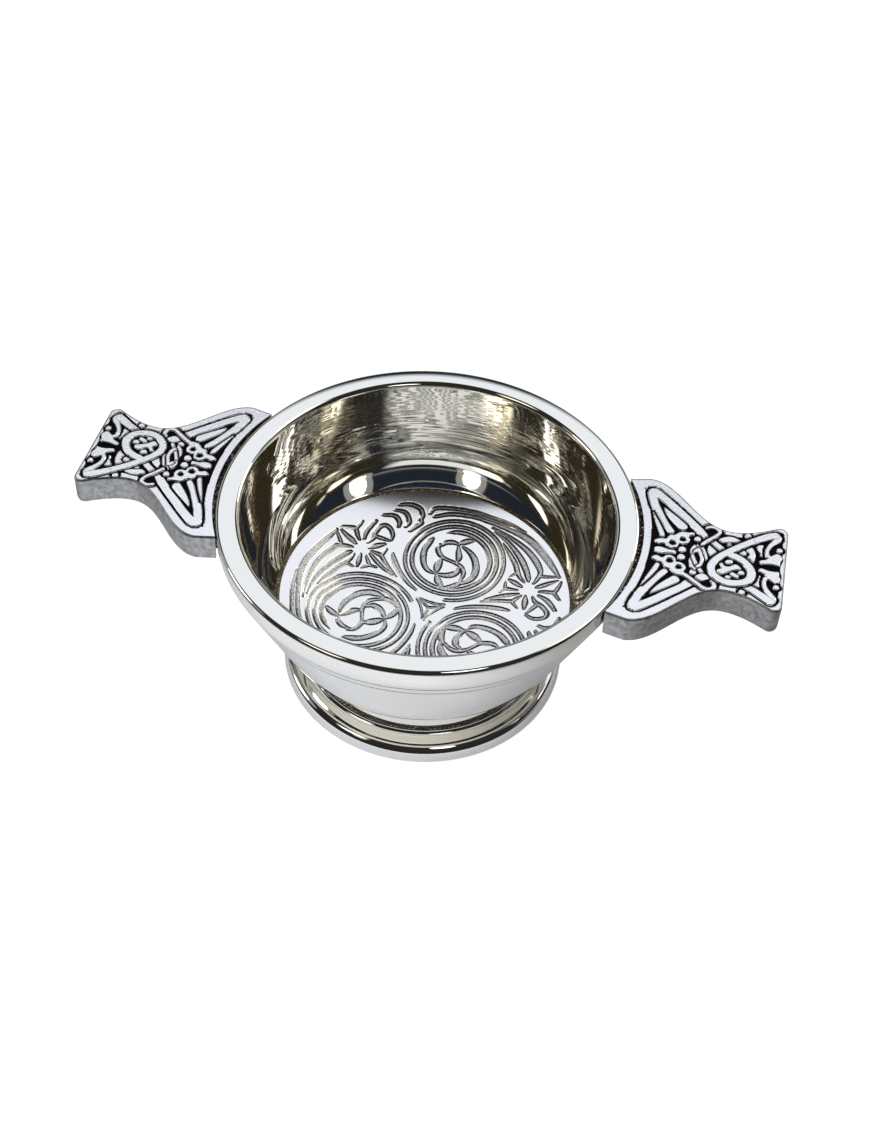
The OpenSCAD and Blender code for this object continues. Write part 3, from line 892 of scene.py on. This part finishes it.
def make_lug_seam(name, turned):
    """Solder between the rim's outside and a lug's hollowed end."""
    half = math.asin((LUG_SHOULDER_Y - LUG_UNDER_R) / LUG_END_R)
    turn = np.linspace(-half, half, LUG_SEAM_STEPS)
    lump = LUG_SEAM_LUMP * (np.random.default_rng(LUG_SEAM_SEED).random(LUG_SEAM_STEPS) - 0.5)
    low = RIM_Z - LUG_T + 2 * LUG_UNDER_R
    high = RIM_Z - LUG_SEAM_DROP
    inner = RIM_R - LUG_SEAM_OVERLAP
    outer = LUG_END_R + LUG_SEAM_OVERLAP
    r = np.array([inner, outer, outer, RIM_R + LUG_SEAM_DIP_X, inner])
    z = np.array([low, low, high, high - LUG_SEAM_DIP, high])
    a = turn + (math.pi if turned else 0)
    rise = np.outer(lump, z > low)
    points = np.stack([np.outer(np.cos(a), r), np.outer(np.sin(a), r), z + rise], -1).reshape(-1, 3)
    n = len(r)
    faces = grid_faces(LUG_SEAM_STEPS, n, True)
    faces += [tuple(range(n)), tuple(range((LUG_SEAM_STEPS - 1) * n, LUG_SEAM_STEPS * n))]
    return make_object(name, points, faces, sharp_angle=50)


# Materials

def feed(socket, value):
    """Links another node's output to a socket, or sets it to a number, a vector or a colour."""
    if isinstance(value, bpy.types.NodeSocket):
        socket.id_data.links.new(value, socket)
    elif socket.type == "RGBA":
        socket.default_value = (*value, 1)
    else:
        socket.default_value = value


def add_node(tree, kind, *inputs, **values):
    """A shader node with its first sockets fed in order, and other sockets and settings by name."""
    made = tree.nodes.new(kind)
    for name, value in values.items():
        socket = made.inputs.get(name)
        if socket is None:
            setattr(made, name, value)
        else:
            feed(socket, value)
    for socket, value in zip(made.inputs, inputs):
        feed(socket, value)
    return made


def mapped(tree, value, low, high, start=0.0, end=1.0):
    """A value stretched from start..end to low..high."""
    return add_node(tree, "ShaderNodeMapRange", value, start, end, low, high, clamp=True).outputs["Result"]


def product(tree, first, second):
    return add_node(tree, "ShaderNodeMath", first, second, operation="MULTIPLY").outputs[0]


def larger(tree, first, second):
    return add_node(tree, "ShaderNodeMath", first, second, operation="MAXIMUM").outputs[0]


def noise(tree, place, scale, detail=3.0):
    return add_node(tree, "ShaderNodeTexNoise", Vector=place, Scale=scale, Detail=detail).outputs["Fac"]


def object_place(tree):
    return add_node(tree, "ShaderNodeTexCoord").outputs["Object"]


def relief_value(tree):
    return add_node(tree, "ShaderNodeAttribute", attribute_name="relief").outputs["Fac"]


def separated(tree, vector):
    return add_node(tree, "ShaderNodeSeparateXYZ", vector).outputs


def bump(tree, height, depth):
    """A surface direction, roughened by a value times a depth in millimetres."""
    return add_node(tree, "ShaderNodeBump", Height=height, Distance=depth * MM, Strength=1.0).outputs[0]


# Indices of a mix node's first, second and result sockets for each kind of value
MIX_SOCKETS = {"FLOAT": (2, 3, 0), "RGBA": (6, 7, 2)}


def blend(tree, factor, first, second, kind="RGBA"):
    """A mix of two colours or numbers, each given as such or as another node's output."""
    made = add_node(tree, "ShaderNodeMix", factor, data_type=kind)
    first_socket, second_socket, result = MIX_SOCKETS[kind]
    feed(made.inputs[first_socket], first)
    feed(made.inputs[second_socket], second)
    return made.outputs[result]


def turned_place(tree):
    """Radius and height of a point, so that a pattern over them runs round the bowl."""
    parts = separated(tree, object_place(tree))
    flat = add_node(tree, "ShaderNodeCombineXYZ", parts["X"], parts["Y"]).outputs[0]
    radius = add_node(tree, "ShaderNodeVectorMath", flat, operation="LENGTH").outputs["Value"]
    return add_node(tree, "ShaderNodeCombineXYZ", X=radius, Z=parts["Z"]).outputs[0]


PEWTER = (0.92, 0.9, 0.835)
LUG_GROUND_BLACK = (0.012, 0.01, 0.012)
LUG_TOP_BRIGHT = (0.96, 0.945, 0.93)
# Greys of a lug's sides: painted shade that makes them darker than the tops, mottled at random between the
# two
LUG_SIDE_SHADE_DARK = (0.3, 0.295, 0.29)
LUG_SIDE_SHADE_LIGHT = (0.58, 0.575, 0.565)
LUG_GROUND_ROUGHNESS = 0.6
# Greys of the medallion by the height of its relief, and the tint they share. The darkest, on the slopes
# at the bands' edges, are painted shade.
BAND_TONES_AND_SLOPE_SHADE = ((0.05, 0.74), (0.2, 0.62), (0.4, 0.2), (0.58, 0.2), (0.85, 0.93))
BAND_TINT = (1, 0.985, 0.95)
BAND_GRAIN = (0.19, 0.17, 0.145)
# Solder: its own colour and that of its specks
SOLDER_BROWN = ((0.20, 0.15, 0.09), (0.75, 0.68, 0.52))
SOLDER_BLACK = ((0.02, 0.016, 0.014), (0.6, 0.55, 0.5))


def new_metal(name, colour, roughness):
    """A metal's material, its tree and its shader's sockets."""
    material = bpy.data.materials.new(name)
    material.use_nodes = True
    sockets = material.node_tree.nodes["Principled BSDF"].inputs
    sockets["Metallic"].default_value = 1.0
    sockets["Base Color"].default_value = (*colour, 1)
    sockets["Roughness"].default_value = roughness
    return material, material.node_tree, sockets


def polished_pewter():
    """Turned and buffed: nearly a mirror, with faint rings and hand marks."""
    material, tree, sockets = new_metal("polished_pewter", PEWTER, roughness=0.05)
    rub = noise(tree, object_place(tree), scale=160)
    feed(sockets["Roughness"], mapped(tree, rub, low=0.02, high=0.06, start=0.3, end=0.7))
    rings = noise(tree, turned_place(tree), scale=900, detail=2)
    feed(sockets["Normal"], bump(tree, rings, depth=0.0015))
    return material


def cast_pewter():
    """The lugs: polished tops, blackened ground and satin sides, told apart by the relief. The sides'
    darker grey is painted shade, mottled at random.
    """
    material, tree, sockets = new_metal("cast_pewter", PEWTER, roughness=0.2)
    relief = relief_value(tree)
    place = object_place(tree)
    top = mapped(tree, relief, low=0, high=1, start=0.28, end=0.66)
    side = mapped(tree, relief, low=0, high=1, start=1.1, end=1.6)
    mottle = mapped(tree, noise(tree, place, scale=900, detail=6), low=0, high=1, start=0.3, end=0.7)
    face_colour = blend(tree, top, LUG_GROUND_BLACK, LUG_TOP_BRIGHT)
    # The sides' grey is painted shade, mottled at random
    side_shade_colour = blend(tree, mottle, LUG_SIDE_SHADE_DARK, LUG_SIDE_SHADE_LIGHT)
    feed(sockets["Base Color"], blend(tree, side, face_colour, side_shade_colour))
    satin = mapped(tree, side, low=0.16, high=0.42)
    feed(sockets["Roughness"], blend(tree, top, LUG_GROUND_ROUGHNESS, satin, kind="FLOAT"))
    feed(sockets["Normal"], bump(tree, noise(tree, place, scale=2600, detail=4), depth=0.03))
    return material


def band_tones_and_slope_shade(tree, relief):
    """The medallion's grey at each height of its relief, with painted shade on the slopes at the bands'
    edges.
    """
    tones = add_node(tree, "ShaderNodeValToRGB", relief)
    stops = tones.color_ramp.elements
    for place, tone in BAND_TONES_AND_SLOPE_SHADE:
        stop = stops.new(place)
        stop.color = (*(tone * share for share in BAND_TINT), 1)
    for unused in (0, -1):
        stops.remove(stops[unused])
    return tones.outputs["Color"]


def medallion_pewter():
    """The stamped disc: bright ground, and grey grained bands whose dark edges are painted shade."""
    material, tree, sockets = new_metal("medallion_pewter", PEWTER, roughness=0.2)
    relief = relief_value(tree)
    grain = noise(tree, object_place(tree), scale=3600)
    specks = product(tree, mapped(tree, grain, low=0, high=0.85, start=0.47, end=0.6),
                     mapped(tree, relief, low=1, high=0, start=0.3, end=0.8))
    # The bands' dark edges are painted shade from the tones
    feed(sockets["Base Color"], blend(tree, specks, band_tones_and_slope_shade(tree, relief), BAND_GRAIN))
    feed(sockets["Roughness"], mapped(tree, relief, low=0.26, high=0.07, start=0.5, end=0.9))
    return material


def solder(name, dark, light):
    """Pitted solder with bright specks."""
    material, tree, sockets = new_metal(name, dark, roughness=0.4)
    place = object_place(tree)
    speck = mapped(tree, noise(tree, place, scale=2200, detail=2), low=0, high=1, start=0.55, end=0.68)
    feed(sockets["Base Color"], blend(tree, speck, dark, light))
    feed(sockets["Roughness"], mapped(tree, speck, low=0.5, high=0.25))
    feed(sockets["Normal"], bump(tree, noise(tree, place, scale=1500), depth=0.2))
    return material


# Stage

PHOTO_W = 870
PHOTO_H = 1131
FOCAL_PX = 1461.88
CAMERA_AZIMUTH = 10.901
CAMERA_ELEVATION = 47.570
CAMERA_ROLL = math.radians(2.677)
CAMERA_DISTANCE = 310.987
CAMERA_SLIDE = (-1.416, 12.530)
CAMERA_CLIP = 10
SENSOR = 36.0
WHITE = (1.0, 1.0, 1.0)


def direction(azimuth, elevation):
    """Unit vector from the bowl. Azimuth is from -Y towards +X, and both are in degrees."""
    a = math.radians(azimuth)
    e = math.radians(elevation)
    return Vector((math.sin(a) * math.cos(e), -math.cos(a) * math.cos(e), math.sin(e)))


def make_camera():
    """The camera at the photograph's place, looking at the rim."""
    back = direction(CAMERA_AZIMUTH, CAMERA_ELEVATION)
    right = direction(CAMERA_AZIMUTH + 90, 0)
    up = back.cross(right)
    x = math.cos(CAMERA_ROLL) * right + math.sin(CAMERA_ROLL) * up
    y = -math.sin(CAMERA_ROLL) * right + math.cos(CAMERA_ROLL) * up
    place = Vector((0, 0, RIM_Z)) + CAMERA_DISTANCE * back - CAMERA_SLIDE[0] * x - CAMERA_SLIDE[1] * y
    data = bpy.data.cameras.new("camera")
    data.sensor_width = SENSOR
    data.lens = FOCAL_PX / max(PHOTO_W, PHOTO_H) * SENSOR
    data.clip_start = CAMERA_CLIP * MM
    camera = add_object("camera", data)
    camera.matrix_world = Matrix.Translation(place * MM) @ Matrix((x, y, back)).transposed().to_4x4()
    bpy.context.scene.camera = camera


FLOOR_SIZE = 6000
FLOOR_COLOUR = (0.8, 0.8, 0.8)
FLOOR_GLOW = 0.84
POOL_C = (-40, -105, 0)
POOL_TINT = (0.92, 0.97, 1.08)
POOL_GLOW = 0.63
POOL_EDGE_GLOW = 0.03
POOL_R = (64, 155)
FAR_POOL_Y = (70, 120)
# Painted shade in the floor's glow round the foot: its centre and the radii over which it clears
POOL_SHADE_C = (0, 25, 0)
POOL_SHADE_R = (30, 58)


def light_path(tree, kind):
    return add_node(tree, "ShaderNodeLightPath").outputs[kind]


def spread(tree, centre, radii, inner, outer):
    """A value that goes from inner to outer between two radii from a centre on the floor."""
    centre = [c * MM for c in centre]
    away = add_node(tree, "ShaderNodeVectorMath", object_place(tree), centre, operation="DISTANCE")
    return mapped(tree, away.outputs["Value"], inner, outer, *(r * MM for r in radii))


def floor_glow(tree):
    """White to the camera. In the metal a pool of light that fades outwards, with painted shade towards
    the foot.
    """
    pool = spread(tree, POOL_C, POOL_R, POOL_GLOW, POOL_EDGE_GLOW)
    # Painted shade round the foot
    pool = product(tree, pool, spread(tree, POOL_SHADE_C, POOL_SHADE_R, 0, 1))
    y = separated(tree, object_place(tree))["Y"]
    pool = larger(tree, pool, mapped(tree, y, 0, POOL_GLOW, *(edge * MM for edge in FAR_POOL_Y)))
    seen = mapped(tree, light_path(tree, "Is Camera Ray"), 0, FLOOR_GLOW)
    return larger(tree, seen, product(tree, light_path(tree, "Is Glossy Ray"), pool))


def make_floor():
    """A pale floor that shows white to the camera, lights the metal and keeps a soft shadow."""
    half = FLOOR_SIZE / 2
    corners = [(-half, -half, 0), (half, -half, 0), (half, half, 0), (-half, half, 0)]
    floor = make_object("floor", corners, [(0, 1, 2, 3)])
    material = bpy.data.materials.new("floor")
    material.use_nodes = True
    tree = material.node_tree
    sockets = tree.nodes["Principled BSDF"].inputs
    sockets["Base Color"].default_value = (*FLOOR_COLOUR, 1)
    sockets["Roughness"].default_value = 1.0
    sockets["Specular IOR Level"].default_value = 0.0
    feed(sockets["Emission Color"], blend(tree, light_path(tree, "Is Camera Ray"), POOL_TINT, WHITE))
    feed(sockets["Emission Strength"], floor_glow(tree))
    floor.data.materials.append(material)


# The room: colours, the turn from front to back along Y, and soft edges as degrees of elevation
ROOM_WARM = (0.028, 0.023, 0.013)
ROOM_COOL = (0.015, 0.02, 0.033)
ROOM_TURN = (-0.2, 0.4)
ROOM_COOL_HIGH = (30, 38)
BACKDROP_WHITE = (0.46, 0.455, 0.44)
BACKDROP_HIGH = (19, 22)
SHEET_WHITE = (0.895, 0.94, 1.03)
SHEET_LOW = (38.5, 40.5)
SHEET_HIGH = (78, 86)
SHEET_LEAN = 0.35
SHEET_FAR = (0.5, 0.65)

# Bright openings in the dark room: azimuth, elevation, radius and strength. Their edges are soft
# between two shares of the radius.
WINDOWS = ((115, 53, 11, 1.9), (-48, 52, 8, 1.9), (-35, 40, 4, 0.8), (95, 45, 3, 0.4))
WINDOW_EDGE = (1.2, 0.8)
WINDOW_WARM = (1.0, 0.94, 0.79)

# Lamps and the fainter halos behind two of them: azimuth, elevation, distance, size and power
LAMPS = {"lamp_left": (-87, 25, 1200, 380, 1.1), "halo_left": (-87, 25, 1230, 700, 0.35),
         "lamp_right": (144, 26, 1200, 380, 1.1), "halo_right": (144, 26, 1230, 700, 0.35),
         "lamp_front": (32, 46.6, 146, 40, 0.01)}


def facing(tree, place, towards):
    """How far a direction of the surroundings points towards a vector."""
    return add_node(tree, "ShaderNodeVectorMath", place, towards, operation="DOT_PRODUCT").outputs["Value"]


def window(tree, place, azimuth, elevation, radius, strength):
    """The strength inside a round patch of the surroundings and 0 outside, with a soft edge."""
    near = facing(tree, place, direction(azimuth, elevation))
    return mapped(tree, near, 0, strength, *(math.cos(math.radians(radius * k)) for k in WINDOW_EDGE))


def window_glow(tree, place):
    """The strength of the brightest opening in each direction."""
    glow = window(tree, place, *WINDOWS[0])
    for opening in WINDOWS[1:]:
        glow = larger(tree, glow, window(tree, place, *opening))
    return glow


def by_height(tree, height, below, above, edge):
    """A value that goes from below to above between two elevations."""
    return mapped(tree, height, below, above, *(math.sin(math.radians(e)) for e in edge))


def room_colour(tree, place):
    """The dark room, warm high in front and cool elsewhere, with a bright sheet and a pale backdrop."""
    parts = separated(tree, place)
    height = parts["Z"]
    back = mapped(tree, parts["Y"], 0, 1, *ROOM_TURN)
    cool = larger(tree, back, by_height(tree, height, 1, 0, ROOM_COOL_HIGH))
    room = blend(tree, cool, ROOM_WARM, ROOM_COOL)
    behind = mapped(tree, facing(tree, place, (0, 1, SHEET_LEAN)), 0, 1, *SHEET_FAR)
    sheet = product(tree, behind, by_height(tree, height, 0, 1, SHEET_LOW))
    sheet = product(tree, sheet, by_height(tree, height, 1, 0, SHEET_HIGH))
    room = blend(tree, sheet, room, SHEET_WHITE)
    backdrop = product(tree, by_height(tree, height, 1, 0, BACKDROP_HIGH), back)
    return blend(tree, backdrop, room, BACKDROP_WHITE)


def make_world():
    """The room that the metal mirrors, with its openings. White to the camera."""
    world = bpy.data.worlds.new("studio")
    bpy.context.scene.world = world
    world.use_nodes = True
    tree = world.node_tree
    place = add_node(tree, "ShaderNodeTexCoord").outputs["Generated"]
    lit = add_node(tree, "ShaderNodeVectorMath", window_glow(tree, place), WINDOW_WARM,
                   room_colour(tree, place), operation="MULTIPLY_ADD").outputs[0]
    seen = blend(tree, light_path(tree, "Is Camera Ray"), lit, WHITE)
    feed(tree.nodes["Background"].inputs["Color"], seen)


def make_lamp(name, azimuth, elevation, distance, size, power):
    """An area lamp that faces the bowl."""
    away = direction(azimuth, elevation)
    data = bpy.data.lights.new(name, "AREA")
    data.shape = "DISK"
    data.size = size * MM
    data.energy = power
    lamp = add_object(name, data)
    lamp.location = (away * distance + Vector((0, 0, RIM_Z))) * MM
    lamp.rotation_mode = "QUATERNION"
    lamp.rotation_quaternion = away.to_track_quat("Z", "Y")


def set_stage():
    """The camera, the floor, the room and the lamps."""
    bpy.context.scene.view_settings.view_transform = "Standard"
    make_camera()
    make_floor()
    make_world()
    for name, values in LAMPS.items():
        make_lamp(name, *values)


def make_part():
    """Every piece in its finish, each in place of its CAD node."""
    polished = polished_pewter()
    cast = cast_pewter()
    brown = solder("solder_brown", *SOLDER_BROWN)
    black = solder("solder_black", *SOLDER_BLACK)
    dress(lathe("bowl_shell", bowl_profile()), polished, "polished_pewter", "bowl")
    dress(lathe("neck_ring", neck_profile()), polished, "polished_pewter", "neck")
    dress(lathe("foot_ring", foot_profile()), polished, "polished_pewter", "foot")
    dress(make_medallion(), medallion_pewter(), "medallion_pewter", "medallion")
    rope = lathe("medallion_bead", rope_profile(), ROPE_SEGMENTS, roped)
    dress(rope, brown, "solder", "medallion_solder")
    neck_bead = lathe("neck_bead", neck_bead_profile(), BEAD_SEGMENTS, pitted)
    dress(neck_bead, brown, "solder", "neck_solder")
    foot_bead = lathe("foot_bead", foot_bead_profile(), BEAD_SEGMENTS, pitted)
    dress(foot_bead, brown, "solder", "foot_solder")
    for side, turned in (("right", False), ("left", True)):
        dress(make_lug(f"lug_{side}_cast", turned), cast, "cast_pewter", f"lug_{side}")
        dress(make_lug_seam(f"lug_{side}_seam", turned), black, "solder", f"lug_{side}_solder")


set_stage()
make_part()
bpy.context.view_layer.update()
